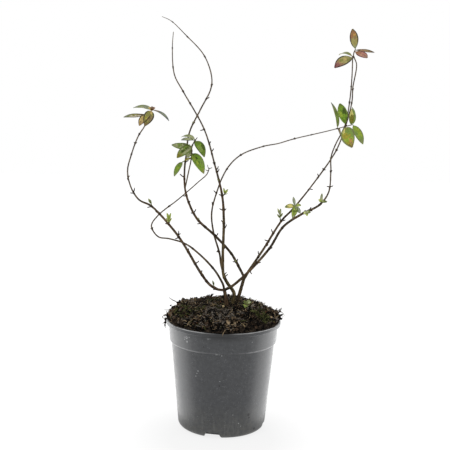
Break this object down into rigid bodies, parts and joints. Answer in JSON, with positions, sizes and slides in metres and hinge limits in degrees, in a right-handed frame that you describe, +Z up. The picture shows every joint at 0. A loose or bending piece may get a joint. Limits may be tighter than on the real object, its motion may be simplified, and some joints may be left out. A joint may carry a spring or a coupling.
{
  "type": "potted flowering shrub",
  "caption": "Young, sparse flowering shrub in a round plastic nursery pot: thin arching woody boughs over a heap of peat, with leaves only at the tips and short new shoots.",
  "frame": {"origin": "middle of the pot's flat underside, on the ground", "axes": "+Z up along the pot's axis, -Y towards the front that the picture shows, +X to the right"},
  "size_m": [0.3414, 0.2012, 0.5984],
  "materials": {
    "pot_plastic": "satin",
    "peat": "matte",
    "bark": "matte",
    "leaf": "satin",
    "young_shoot": "satin"
  },
  "bodies": {
    "root": {"pot": "pot_plastic", "soil": "peat", "stem_left": "bark", "stem_centre_lower": "bark", "stem_centre_upper": "bark", "stem_right": "bark", "bough_left_lower": "bark", "bough_left_upper": "bark", "bough_front_lower": "bark", "bough_front_upper": "bark", "bough_loop_lower": "bark", "bough_loop_upper": "bark", "bough_back_lower": "bark", "bough_back_upper": "bark", "bough_tall_lower": "bark", "bough_tall_middle": "bark", "bough_tall_upper": "bark", "bough_outer_lower": "bark", "bough_outer_middle": "bark", "bough_outer_upper": "bark", "leaves_left": "leaf", "leaves_front": "leaf", "leaves_back": "leaf", "leaves_middle": "leaf", "leaves_outer": "leaf", "leaves_outer_top": "leaf", "leaf_tall": "leaf", "shoot_left_low": "young_shoot", "shoot_left_middle": "young_shoot", "shoot_left_high": "young_shoot", "shoot_centre": "young_shoot", "shoot_outer_low": "young_shoot", "shoot_outer_high": "young_shoot", "shoot_front_low": "young_shoot", "shoot_front_high": "young_shoot", "shoot_soil": "young_shoot"}
  },
  "joints": []
}
